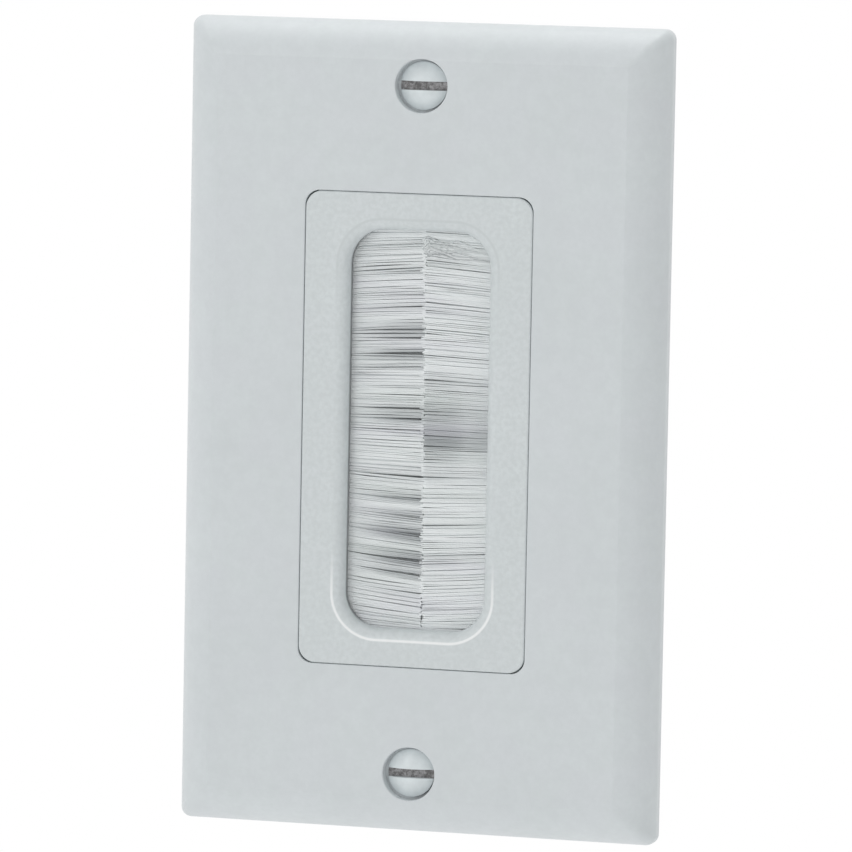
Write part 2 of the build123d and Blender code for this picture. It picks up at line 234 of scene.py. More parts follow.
class Signal:
    """One value or colour in a material's node tree, with arithmetic that adds the nodes."""

    def __init__(self, tree, socket=None):
        self.tree = tree
        self.socket = socket

    def node(self, kind, settings=None, inputs=None, output=0):
        """Adds a node: its settings first, then the values or links of its sockets."""
        made = self.tree.nodes.new(kind)
        for key, value in (settings or {}).items():
            setattr(made, key, value)
        for key, value in (inputs or {}).items():
            if isinstance(value, Signal):
                self.tree.links.new(value.socket, made.inputs[key])
            else:
                made.inputs[key].default_value = value
        return Signal(self.tree, made.outputs[output])

    def out(self, name):
        """Another output of the same node."""
        return Signal(self.tree, self.socket.node.outputs[name])

    def math(self, operation, first, second=0.0):
        return self.node("ShaderNodeMath", {"operation": operation}, {0: first, 1: second})

    def __add__(self, other):
        return self.math("ADD", self, other)

    def __radd__(self, other):
        return self.math("ADD", other, self)

    def __sub__(self, other):
        return self.math("SUBTRACT", self, other)

    def __rsub__(self, other):
        return self.math("SUBTRACT", other, self)

    def __mul__(self, other):
        return self.math("MULTIPLY", self, other)

    def __rmul__(self, other):
        return self.math("MULTIPLY", other, self)

    def __abs__(self):
        return self.math("ABSOLUTE", self)

    def most(self, other):
        """The greater of two values."""
        return self.math("MAXIMUM", self, other)

    def fit(self, low, high, start=0.0, end=1.0):
        """The value, smoothly stretched from low..high to start..end and held there."""
        return self.node("ShaderNodeMapRange", {"interpolation_type": "SMOOTHSTEP"},
                         {"Value": self, "From Min": low, "From Max": high,
                          "To Min": start, "To Max": end})

    def mix(self, first, second):
        """First where this value is 0, second where it is 1; both are colours."""
        ends = {}
        for index, end in ((6, first), (7, second)):
            ends[index] = end if isinstance(end, Signal) else (*end, 1)
        return self.node("ShaderNodeMix", {"data_type": "RGBA"}, {0: self, **ends}, 2)


def place(start, centre=(0, 0, 0), stretch=(1, 1, 1)):
    """Object coordinates, measured from a centre and stretched along the axes."""
    coords = start.node("ShaderNodeTexCoord", output="Object")
    moved = start.node("ShaderNodeVectorMath", {"operation": "SUBTRACT"}, {0: coords, 1: centre})
    return start.node("ShaderNodeMapping", {"vector_type": "POINT"},
                      {"Vector": moved, "Scale": stretch})


def split_axes(start):
    """Object coordinates, with one output for each of X, Y and Z."""
    coords = start.node("ShaderNodeTexCoord", output="Object")
    return start.node("ShaderNodeSeparateXYZ", {}, {0: coords})


def noise(start, where, size, detail=2.0, roughness=0.5):
    """Soft noise from 0 to 1 with spots of about the given size."""
    return start.node("ShaderNodeTexNoise", {}, {"Vector": where, "Scale": 1 / size,
                                                 "Detail": detail, "Roughness": roughness})


def relief(start, height):
    """A bump from a height in metres."""
    return start.node("ShaderNodeBump", {}, {"Height": height, "Strength": 1.0, "Distance": 1.0})


def toned(colour, factor):
    """A colour made darker or lighter, held at full strength."""
    return tuple(min(channel * factor, 1) for channel in colour)


def behind_face(level, near, far):
    """A mask that rises from 0 to 1 between two depths behind the plate's face."""
    return level.fit(FACE_Y + near, FACE_Y + far)


def new_material(name):
    """An empty material, with the start of its node tree."""
    material = bpy.data.materials.new(name)
    material.use_nodes = True
    material.node_tree.nodes.clear()
    return material, Signal(material.node_tree)


def finish_surface(start, sockets):
    """The material's one Principled shader and its output."""
    surface = start.node("ShaderNodeBsdfPrincipled", {}, sockets)
    output = start.tree.nodes.new("ShaderNodeOutputMaterial")
    start.tree.links.new(surface.socket, output.inputs["Surface"])


# Finishes


def groove_shade(start):
    """Painted shade on the floors of the two screw recesses, most of all on their right side."""
    axes = split_axes(start)
    across = axes.out("X")
    up = abs(axes.out("Z")) - SCREW_Z
    outer, inner = RECESS_RADII
    near = (across * across + up * up).fit(outer ** 2, inner ** 2)
    level = axes.out("Y")
    deep = behind_face(level, *RECESS_START) * behind_face(level, *RECESS_END)
    return near * deep * across.fit(-1.0 * MM, 3.0 * MM, 0.12, 1.0)


def window_reach(start):
    """The axes, and how far outside the box through the window's corner centres a place lies."""
    axes = split_axes(start)
    across = (abs(axes.out("X")) - (WINDOW_HALF_X - WINDOW_CORNER)).most(0.0)
    up = (abs(axes.out("Z")) - (WINDOW_HALF_Z - WINDOW_CORNER)).most(0.0)
    return axes, start.math("SQRT", across * across + up * up)


def foot_shade(start):
    """Painted shade: the dark line at the foot of the window's left wall, beside the bristles."""
    axes, reach = window_reach(start)
    on_wall = abs(reach - WINDOW_CORNER).fit(0.30 * MM, 0.15 * MM)
    on_left = axes.out("X").fit(-6.5 * MM, -9.0 * MM)
    at_foot = axes.out("Y").fit(-4.6 * MM, -4.0 * MM)
    return on_wall * on_left * at_foot


def painted_rim_lines(start):
    """The faint lines round the rim's outer edge: a painted shade line above and a painted
    highlight line below.
    """
    axes, reach = window_reach(start)
    ring = abs(reach - WINDOW_CORNER - WINDOW_RIM).fit(0.30 * MM, 0.05 * MM)
    height = axes.out("Z")
    return ring * height.fit(16 * MM, 26 * MM), ring * height.fit(-16 * MM, -26 * MM)


def moulded_plastic(name, colour, grain, peel, gloss, mottle, painted_shade=None, lines=None):
    """Satin moulded plastic: faint patches of tone, shallow waves and a fine texture.

    peel is the waves' height, mottle how clear the small speckles are, painted_shade a function
    for the places painted darker as shade and lines one for the painted shade and highlight lines.
    """
    material, start = new_material(name)
    where = place(start)
    patches = noise(start, where, 2.2 * MM, 3.0)
    broad = noise(start, where, 14 * MM, 1.0)
    tone = patches.fit(0.3, 0.7) * 0.6 + broad.fit(0.3, 0.7) * 0.4
    base = tone.mix(toned(colour, 0.965), toned(colour, 1.025))
    warm = noise(start, place(start, (3 * MM, 0, 5 * MM)), 7 * MM, 2.0).fit(0.35, 0.7) * 0.35
    base = warm.mix(base, (colour[0] * 1.01, colour[1] * 0.985, colour[2] * 1.01))
    speckle = noise(start, where, 0.7 * MM, 2.0).fit(0.3, 0.7) * mottle
    base = speckle.mix(base, toned(colour, 0.91))
    if lines:
        # Painted shade on the rim's upper edge and a painted highlight on its lower edge
        painted_rim_shade, painted_rim_highlight = lines(start)
        base = (painted_rim_shade * 0.8).mix(base, toned(colour, 0.88))
        base = (painted_rim_highlight * 0.8).mix(base, PAINTED_HIGHLIGHT_COLOUR)
    # Painted shade in the screw recesses and at the foot of the window's left wall
    if painted_shade:
        base = (painted_shade(start) * 0.8).mix(base, PAINTED_SHADE_COLOUR)
    waves = noise(start, where, grain, 2.0, 0.4)
    fine = noise(start, where, 0.16 * MM, 2.0, 0.6)
    height = waves * peel + fine * (peel * 0.16)
    rough = noise(start, where, 1.7 * MM, 3.0).fit(0.25, 0.75, gloss - 0.05, gloss + 0.06)
    finish_surface(start, {"Base Color": base, "Roughness": rough,
                           "Normal": relief(start, height),
                           "Specular IOR Level": 0.45, "IOR": 1.5})
    return material


def nylon():
    """Milky nylon bristles with painted shade inside the pack, by the partings and on some
    strands.
    """
    settings = bpy.context.scene.brush_bristles
    material, start = new_material("nylon_bristles")
    strand = start.node("ShaderNodeAttribute",
                        {"attribute_name": "strand", "attribute_type": "GEOMETRY"}, output="Color")
    parts = start.node("ShaderNodeSeparateColor", {}, {"Color": strand})
    depth = parts.out("Red")
    along = parts.out("Green")
    chance = parts.out("Blue")
    streaks = noise(start, place(start, stretch=(0.10, 1, 1)), 0.6 * MM, 2.0)
    on_right = split_axes(start).out("X").fit(0.0, 2.0 * MM)
    clear = along.fit(0.0, 0.75, 0.1, 1.0).most(on_right * 0.65)
    # Painted shade from the stored shade, faded towards the left pack's roots
    deep = (depth - SHADE_LIFT) * clear
    deep = deep + (chance - 0.5) * 0.06 + (streaks - 0.5) * 0.16
    # Painted light at the right pack's cut ends and near the roots
    deep = deep - along.fit(CUT_END, 1.0) * 0.25 - along.fit(0.3, 0.0) * 0.15
    base = deep.fit(-0.25, 1.2).mix(tuple(settings.light_colour), tuple(settings.deep_colour))
    hue = noise(start, place(start, stretch=(0.15, 0.4, 1)), 3.5 * MM, 1.0)
    base = hue.fit(0.5, 0.75, 0.0, 0.28).mix(base, LILAC_NYLON)
    base = hue.fit(0.5, 0.25, 0.0, 0.28).mix(base, GREEN_NYLON)
    rough = chance.fit(0.0, 1.0, 0.32, 0.45)
    finish_surface(start, {"Base Color": base, "Roughness": rough,
                           "Specular IOR Level": 0.4, "IOR": 1.53,
                           "Subsurface Weight": 0.2, "Subsurface Radius": (1.0, 1.0, 1.0),
                           "Subsurface Scale": 0.15 * MM})
    return material


def plated_steel(name, colour, roughness, grain_axis):
    """Plated or drawn metal with fine lines along an axis and a slightly uneven bloom."""
    material, start = new_material(name)
    stretch = [1.0, 1.0, 1.0]
    stretch[grain_axis] = 0.06
    lines = noise(start, place(start, stretch=tuple(stretch)), 0.14 * MM, 3.0, 0.6)
    bloom = noise(start, place(start), 1.3 * MM, 3.0)
    base = (bloom * 0.6 + lines * 0.4).fit(0.35, 0.65).mix(toned(colour, 0.82), toned(colour, 1.1))
    rough = (bloom * 0.5 + lines * 0.5).fit(0.3, 0.7, roughness - 0.08, roughness + 0.1)
    finish_surface(start, {"Base Color": base, "Roughness": rough, "Metallic": 1.0,
                           "Normal": relief(start, lines * (0.006 * MM))})
    return material


def screw_finish(name, centre_z):
    """White paint on the head, worn off in the slot, and bare plating on the shank."""
    settings = bpy.context.scene.brush_screws
    material, start = new_material(name)
    axes = split_axes(start)
    level = axes.out("Y")
    in_slot = abs(axes.out("Z") - centre_z).fit(*SLOT_EDGE) * behind_face(level, *SLOT_FLOOR)
    on_shank = behind_face(level, *PAINT_END)
    where = place(start)
    mottle = noise(start, where, 0.55 * MM, 4.0, 0.65)
    specks = noise(start, where, 0.22 * MM, 2.0)
    bare = mottle.fit(0.36, 0.66).mix(*BARE_SLOT)
    bare = specks.fit(0.60, 0.70, 0.0, 0.75).mix(bare, SLOT_SPECKS)
    bloom = noise(start, where, 0.9 * MM, 3.0).fit(0.3, 0.7)
    zinc = bloom.mix(toned(settings.zinc_colour, 0.8), tuple(settings.zinc_colour))
    patches = noise(start, where, 1.6 * MM, 3.0).fit(0.3, 0.7)
    paint = patches.mix(toned(settings.paint_colour, 0.95), toned(settings.paint_colour, 1.04))
    base = in_slot.mix(paint, bare)
    base = on_shank.mix(base, zinc)
    rough = on_shank.most(in_slot).fit(0.0, 1.0, 0.30, 0.42)
    metal = on_shank.most(in_slot * 0.35)
    peel = noise(start, where, 0.7 * MM, 2.0) * (0.012 * MM) + mottle * in_slot * (0.05 * MM)
    finish_surface(start, {"Base Color": base, "Roughness": rough, "Metallic": metal,
                           "Normal": relief(start, peel), "Specular IOR Level": 0.5})
    return material


def vulcanised_fibre():
    """Reddish pressed fibre with flecks."""
    material, start = new_material("vulcanised_fibre")
    flecks = noise(start, place(start, stretch=(1, 0.4, 0.35)), 0.25 * MM, 4.0, 0.7)
    base = flecks.fit(0.35, 0.7).mix(*FIBRE)
    rough = noise(start, place(start), 0.6 * MM).fit(0.3, 0.7, 0.62, 0.8)
    finish_surface(start, {"Base Color": base, "Roughness": rough,
                           "Normal": relief(start, flecks * (0.02 * MM))})
    return material


# Shapes

# The thread's steps in one turn, and how deep its ridge is sunk in the core
THREAD_STEPS = 20
THREAD_SINK = 0.08 * MM


def new_piece(name, mesh, material, nodes):
    """Puts a finished mesh in the scene in place of its CAD nodes."""
    piece = bpy.data.objects.new(name, mesh)
    bpy.context.scene.collection.objects.link(piece)
    mesh.materials.clear()
    mesh.materials.append(material)
    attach(piece, "root")
    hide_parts(*nodes)
    return piece


def cad_copy(node, cut, normal):
    """A merged copy of a CAD node's mesh, kept on the back of a cutting plane and closed there."""
    bm = bmesh.new()
    bm.from_mesh(frame["nodes"][node].data)
    bmesh.ops.remove_doubles(bm, verts=bm.verts, dist=0.0005 * MM)
    bmesh.ops.dissolve_limit(bm, angle_limit=math.radians(0.4), verts=bm.verts, edges=bm.edges)
    geometry = bm.verts[:] + bm.edges[:] + bm.faces[:]
    bmesh.ops.bisect_plane(bm, geom=geometry, dist=0.0001 * MM, plane_co=cut, plane_no=normal,
                           clear_outer=True, clear_inner=False)
    rim = [edge for edge in bm.edges if edge.is_boundary]
    bmesh.ops.holes_fill(bm, edges=rim, sides=0)
    return bm


def thread(bm, centre_z, start_y, end_y, neck_y):
    """Adds a threaded shank along +Y: a core rod with a coarse ridge wound round it."""
    settings = bpy.context.scene.brush_screws
    core = settings.core_radius
    crest = settings.crest_radius
    pitch = settings.pitch
    tip = core * 0.45
    facing = Matrix.Rotation(math.pi / 2, 4, "X")
    made = bmesh.ops.create_circle(bm, segments=40, radius=core * 0.98,
                                   matrix=Matrix.Translation((0, neck_y, centre_z)) @ facing)
    ring = list(dict.fromkeys(edge for vert in made["verts"] for edge in vert.link_edges))
    for length, scale in ((end_y - neck_y - tip, 1.0), (tip, 0.62)):
        grown = bmesh.ops.extrude_edge_only(bm, edges=ring)["geom"]
        verts = [part for part in grown if isinstance(part, bmesh.types.BMVert)]
        ring = [part for part in grown if isinstance(part, bmesh.types.BMEdge)
                and all(vert in verts for vert in part.verts)]
        bmesh.ops.translate(bm, verts=verts, vec=(0, length, 0))
        bmesh.ops.scale(bm, verts=verts, vec=(scale, 1, scale),
                        space=Matrix.Translation((0, 0, -centre_z)))
    bmesh.ops.holes_fill(bm, edges=ring, sides=0)
    turns = (end_y - start_y - pitch) / pitch
    foot = core - THREAD_SINK
    profile = ((foot, 0.0), (crest, pitch * 0.40), (crest, pitch * 0.52), (foot, pitch * 0.92))
    verts = [bm.verts.new((radius, start_y + rise, centre_z)) for radius, rise in profile]
    edges = [bm.edges.new((verts[i], verts[(i + 1) % 4])) for i in range(4)]
    first = list(edges)
    count = round(turns * THREAD_STEPS)
    wound = bmesh.ops.spin(bm, geom=verts + edges, cent=(0, 0, centre_z), axis=(0, 1, 0),
                           dvec=(0, pitch / THREAD_STEPS, 0),
                           angle=2 * math.pi * count / THREAD_STEPS, steps=count,
                           use_merge=False, use_duplicate=False)
    last = [part for part in wound["geom_last"] if isinstance(part, bmesh.types.BMEdge)]
    bmesh.ops.holes_fill(bm, edges=first, sides=0)
    bmesh.ops.holes_fill(bm, edges=last, sides=0)
    bmesh.ops.recalc_face_normals(bm, faces=bm.faces)


def finished_mesh(bm, name, smooth_angle):
    """The bmesh as a mesh, smooth but for edges sharper than the angle."""
    mesh = bpy.data.meshes.new(name)
    bm.to_mesh(mesh)
    bm.free()
    mesh.shade_smooth()
    mesh.set_sharp_from_angle(angle=math.radians(smooth_angle))
    return mesh


def soften(piece, width, segments, angle):
    """Rounds the edges sharper than the angle with a live bevel."""
    bevel = piece.modifiers.new("Edge rounding", "BEVEL")
    bevel.width = width
    bevel.segments = segments
    bevel.limit_method = "ANGLE"
    bevel.angle_limit = math.radians(angle)
    bevel.harden_normals = True


# Bristles

# A pack's sizes, all in mm: half its length, the bare end of it, the X of the roots and of the
# channel's mouth, the middle of its thickness, and how far the outer layers stand off that
PACK_HALF = 29.0
END_GAP = 0.12
ROOT_X = 11.65
MOUTH_X = 11.6
PACK_Y = -2.45
LAYER_AT_ROOT = 0.58
LAYER_AT_TIP = 0.84

# The line where the tips meet, in mm: its X at mid height, how far it leans over half a pack, how
# far the tips pass it, and the height below which they stop short of it instead
MEETING_X = 0.38
MEETING_LEAN = 0.24
TIP_OVERLAP = 0.10
OPEN_BELOW = -23.6

# What differs between the packs: how uneven the tips are in mm, the share of the fan, and the seed
TIP_SPREAD = {"left": 0.08, "right": 0.2}
FAN_SHARE = {"left": 1.0, "right": 0.8}
PACK_SEEDS = {"left": 0, "right": 5}

# Shares of a bristle's length at which its points lie; the last part is the cut end
BRISTLE_STEPS = (0.0, 0.3, 0.6, 0.93, 1.0)
CUT_END = BRISTLE_STEPS[-2]

# Added to the painted shades that the mesh stores, and taken off again in the nylon
SHADE_LIFT = 0.3

# The tangle of stray bristles near the top of the right pack: how many, their roots' heights in
# mm, their layer, and how far they stray in mm, with each point's share of that
TANGLE_COUNT = 22
TANGLE_ROOTS = (23.6, 25.3)
TANGLE_LAYER = -1.06
TANGLE_SPREAD = 0.8
TANGLE_SHARES = (0.0, 0.1, 0.55, 0.75, 0.8)

# Partings between the front tufts: height, half width at the tips and spread in mm, and painted
# shade, which is painted light where it is below nought
PARTINGS = {
    "left": (
        (25.9, 0.08, 0.7, 0.20), (22.6, 0.13, 1.3, 0.31), (19.3, 0.14, 1.0, 0.31),
        (17.4, 0.16, 0.8, 0.39), (14.2, 0.22, 1.9, 0.62), (13.0, 0.16, 0.8, 0.23),
        (10.8, 0.30, 1.5, 0.70), (8.9, 0.13, 0.7, 0.39), (6.1, 0.08, 0.7, 0.23),
        (2.9, 0.16, 1.1, 0.55), (1.5, 0.21, 1.3, 0.70), (-0.2, 0.10, 0.8, 0.27),
        (-6.7, 0.18, 1.1, 0.31), (-8.7, 0.11, 0.7, 0.31), (-9.8, 0.19, 1.2, 0.66),
        (-12.3, 0.16, 1.6, 0.58), (-14.9, 0.27, 1.8, 0.94), (-17.4, 0.13, 0.8, 0.39),
        (-18.6, 0.27, 1.5, 0.90), (-20.6, 0.21, 1.2, 0.70), (-23.2, 0.16, 1.6, 0.23),
    ),
    "right": (
        (23.9, 0.08, 0.7, 0.33), (18.6, 0.05, 0.5, 0.10), (16.8, 0.08, 0.6, 0.33),
        (10.4, 0.08, 1.0, 0.19), (7.0, 0.10, 2.2, 0.28), (3.0, 0.05, 2.4, 0.19),
        (0.4, 0.00, 8.5, 0.57), (-0.8, 0.13, 2.2, 0.47), (-2.3, 0.11, 1.1, 0.33),
        (-4.1, 0.10, 0.7, 0.14), (-6.7, 0.18, 1.3, 0.28), (-13.5, 0.10, 0.6, 0.33),
        (-18.6, 0.11, 1.6, 0.33), (-21.2, 0.05, 0.7, 0.10), (-25.4, 0.00, 3.4, -0.45),
    ),
}


def parted(tip_z, partings):
    """A tip's height after the tufts beside each parting have drawn apart, and its painted shade.
    """
    shade = 0.0
    for height, half_width, spread, dark in partings:
        away = tip_z - height
        if abs(away) < spread:
            side = 1 if away >= 0 else -1
            shade += dark * (1 - (away / spread) ** 2) ** 2
            tip_z = height + side * (half_width + abs(away) * (1 - half_width / spread))
    return tip_z, shade


def bristle_layers(random, side):
    """The layers of a pack from front to back: place in its thickness, painted shade, partings."""
    front = PARTINGS[side]
    shaded = tuple((z, width * 0.3, spread, dark * 0.6) for z, width, spread, dark in front)
    back = tuple((float(z), float(random.uniform(0.1, 0.45)), float(random.uniform(0.7, 1.3)), 0.2)
                 for z in np.arange(-26, 27, 2.6) + random.uniform(-0.8, 0.8, 21))
    # Each layer's second number is its painted shade: the middle layers lie in the pack's shade
    return ((-1.0, 0.0, front), (-0.76, 0.05, front), (-0.3, 0.18, shaded), (0.2, 0.4, ()),
            (0.72, 0.2, back), (1.0, 0.05, back))


def meeting_x(z):
    """Where the two packs meet at a height, in mm."""
    return MEETING_X - MEETING_LEAN * z / PACK_HALF


def strand_points(random, side, root_z, layer, partings):
    """One bristle's points in mm, from the channel's mouth to its tip, and its painted shade."""
    settings = bpy.context.scene.brush_bristles
    sign = SIDES[side]
    share = root_z / PACK_HALF
    fan = (settings.upper_fan if root_z > 0 else settings.lower_fan) / MM * FAN_SHARE[side]
    tip_z = root_z + fan * share * (1 - abs(share) ** 8)
    tip_z, shade = parted(tip_z, partings)
    tip_z += random.normal(0, 0.08)
    gap = TIP_OVERLAP if tip_z < OPEN_BELOW else -TIP_OVERLAP
    tip_x = meeting_x(tip_z) + sign * gap + random.normal(0, TIP_SPREAD[side])
    root_x = sign * ROOT_X
    root_y = PACK_Y + layer * LAYER_AT_ROOT
    tip_y = PACK_Y + layer * LAYER_AT_TIP + random.normal(0, 0.015)
    bow = random.normal(0, 0.05)
    points = []
    for t in BRISTLE_STEPS:
        ease = t + 0.25 * t * (1 - t)
        points.append((root_x + (tip_x - root_x) * t,
                       root_y + (tip_y - root_y) * min(1, 4 * t),
                       root_z + (tip_z - root_z) * ease + bow * 4 * t * (1 - t)))
    return points, shade


def add_strand(curve, points):
    """Adds one bristle to the curve, from its points in mm."""
    spline = curve.splines.new("POLY")
    spline.points.add(len(points) - 1)
    for spot, (x, y, z) in zip(spline.points, points):
        spot.co = (x * MM, y * MM, z * MM, 1.0)


def lay_strands(random, side, curve):
    """Adds a pack's bristles to the curve, and gives each its painted shade and a random number.
    """
    settings = bpy.context.scene.brush_bristles
    half = PACK_HALF - END_GAP
    tones = []
    for layer, depth, partings in bristle_layers(random, side):
        rows = np.arange(-half, half, settings.pitch / MM) + random.uniform(0, 0.1)
        for row in rows:
            root_z = float(np.clip(row + random.normal(0, 0.03), -half, half))
            points, shade = strand_points(random, side, root_z, layer, partings)
            add_strand(curve, points)
            tones.append((SHADE_LIFT + depth + shade, float(random.uniform())))
    if side == "right":
        for _ in range(TANGLE_COUNT):
            root_z = float(random.uniform(*TANGLE_ROOTS))
            points = strand_points(random, side, root_z, TANGLE_LAYER, PARTINGS[side])[0]
            add_strand(curve, [(x, y, z + random.normal(0, TANGLE_SPREAD) * share)
                               for (x, y, z), share in zip(points, TANGLE_SHARES)])
            tones.append((SHADE_LIFT + random.uniform(0.0, 1.1), float(random.uniform())))
    return tones


def curve_mesh(curve):
    """The curve's tubes as a mesh, which takes the curve's place."""
    maker = bpy.data.objects.new(curve.name, curve)
    bpy.context.scene.collection.objects.link(maker)
    bpy.context.view_layer.update()
    tubes = maker.evaluated_get(bpy.context.evaluated_depsgraph_get())
    mesh = bpy.data.meshes.new_from_object(tubes)
    bpy.data.objects.remove(maker)
    bpy.data.curves.remove(curve)
    return mesh


def colour_strands(strands, side, tones):
    """Stores the bristles' painted shades, places along them and random numbers in the mesh."""
    per_strand = len(strands.vertices) // len(tones)
    colours = np.ones((len(tones), per_strand, 4), np.float32)
    colours[:, :, 0] = np.array([tone[0] for tone in tones])[:, None]
    reach = np.minimum(BRISTLE_STEPS, 1.0 if side == "right" else CUT_END)
    colours[:, :, 1] = np.repeat(reach, per_strand // len(reach))[None, :]
    colours[:, :, 2] = np.array([tone[1] for tone in tones])[:, None]
    layer = strands.attributes.new("strand", "FLOAT_COLOR", "POINT")
    layer.data.foreach_set("color", colours.ravel())


def grow_bristles(side):
    """A pack of single bristles on the folded root that the channel grips."""
    settings = bpy.context.scene.brush_bristles
    random = np.random.default_rng(settings.seed + PACK_SEEDS[side])
    node = side + "_bristles"
    curve = bpy.data.curves.new(node + "_strands", "CURVE")
    curve.dimensions = "3D"
    curve.bevel_depth = settings.strand_radius
    curve.bevel_resolution = 1
    tones = lay_strands(random, side, curve)
    strands = curve_mesh(curve)
    colour_strands(strands, side, tones)
    bm = bmesh.new()
    bm.from_mesh(strands)
    bpy.data.meshes.remove(strands)
    open_ends = [edge for edge in bm.edges if edge.is_boundary]
    bmesh.ops.holes_fill(bm, edges=open_ends, sides=0)
    sign = SIDES[side]
    root = cad_copy(node, (sign * MOUTH_X * MM, 0, 0), (-sign, 0, 0))
    root_mesh = bpy.data.meshes.new(node + "_root")
    root.to_mesh(root_mesh)
    root.free()
    bm.from_mesh(root_mesh)
    bpy.data.meshes.remove(root_mesh)
    return finished_mesh(bm, node + "_pack", 60)


# Operators


class BRUSHPLATE_OT_mouldings(bpy.types.Operator):
    """Gives the cover plate, the insert and the back frame their moulded plastic"""

    bl_idname = "brushplate.mouldings"
    bl_label = "Mouldings"

    def execute(self, context):
        settings = context.scene.brush_plastic
        # The plate gets painted shade in its screw recesses; the insert gets painted shade at its
        # wall's foot and painted rim lines
        finishes = {
            "wall_plate": moulded_plastic(
                "satin_plate_plastic", tuple(settings.plate_colour), settings.plate_grain,
                peel=0.008 * MM, gloss=0.40, mottle=0.2, painted_shade=groove_shade),
            "insert_frame": moulded_plastic(
                "satin_insert_plastic", tuple(settings.insert_colour), settings.insert_grain,
                peel=0.030 * MM, gloss=0.34, mottle=0.8, painted_shade=foot_shade, lines=painted_rim_lines),
            "rear_retainer": moulded_plastic(
                "matt_retainer_plastic", tuple(settings.insert_colour), settings.insert_grain,
                peel=0.006 * MM, gloss=0.5, mottle=0.2),
        }
        for node, material in finishes.items():
            frame["nodes"][node].material_slots[0].material = material
        return {"FINISHED"}


class BRUSHPLATE_OT_bristles(bpy.types.Operator):
    """Grows the two bristle packs strand by strand"""

    bl_idname = "brushplate.bristles"
    bl_label = "Bristles"

    def execute(self, context):
        material = nylon()
        for side in SIDES:
            new_piece(side + "_brush", grow_bristles(side), material,
                      [side + "_bristles"])
        return {"FINISHED"}


class BRUSHPLATE_OT_plate_screws(bpy.types.Operator):
    """Makes the slotted plate screws with real threads and painted heads"""

    bl_idname = "brushplate.plate_screws"
    bl_label = "Plate screws"

    def execute(self, context):
        for end in ENDS:
            node = end + "_plate_screw"
            low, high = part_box(node)
            centre_z = (low.z + high.z) / 2
            neck = FACE_Y + SCREW_NECK
            bm = cad_copy(node, (0, neck, 0), (0, 1, 0))
            thread(bm, centre_z, neck + 0.1 * MM, high.y, neck - 0.3 * MM)
            mesh = finished_mesh(bm, node, 32)
            piece = new_piece(end + "_oval_screw", mesh, screw_finish(node + "_paint", centre_z),
                              [node])
            soften(piece, 0.07 * MM, 2, 50)
        return {"FINISHED"}


class BRUSHPLATE_OT_box_screws(bpy.types.Operator):
    """Makes the long box screws with real threads"""

    bl_idname = "brushplate.box_screws"
    bl_label = "Box screws"

    def execute(self, context):
        settings = context.scene.brush_screws
        zinc = plated_steel("zinc_plated_steel", tuple(settings.zinc_colour), 0.30, 1)
        for end in ENDS:
            node = end + "_box_screw"
            low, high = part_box(node)
            centre_z = (low.z + high.z) / 2
            bm = cad_copy(node, (0, -0.05 * MM, 0), (0, 1, 0))
            thread(bm, centre_z, 0.02 * MM, high.y, -0.3 * MM)
            piece = new_piece(end + "_long_screw", finished_mesh(bm, node, 32), zinc,
                              [node])
            soften(piece, 0.06 * MM, 2, 50)
        return {"FINISHED"}


class BRUSHPLATE_OT_hardware(bpy.types.Operator):
    """Gives the channels, wires, bushes, washers and small screws their finishes"""

    bl_idname = "brushplate.hardware"
    bl_label = "Hardware"

    def execute(self, context):
        finishes = {
            "channel": plated_steel("mill_aluminium", ALUMINIUM, 0.34, 2),
            "wire": plated_steel("drawn_wire", WIRE, 0.36, 2),
            "bush": plated_steel("machined_brass", BRASS, 0.28, 1),
            "washer": vulcanised_fibre(),
            "retainer_screw": plated_steel("small_screw_zinc", SMALL_SCREW_ZINC, 0.32, 1),
        }
        for name, node in frame["nodes"].items():
            for ending, material in finishes.items():
                if name.endswith(ending):
                    node.material_slots[0].material = material
        return {"FINISHED"}


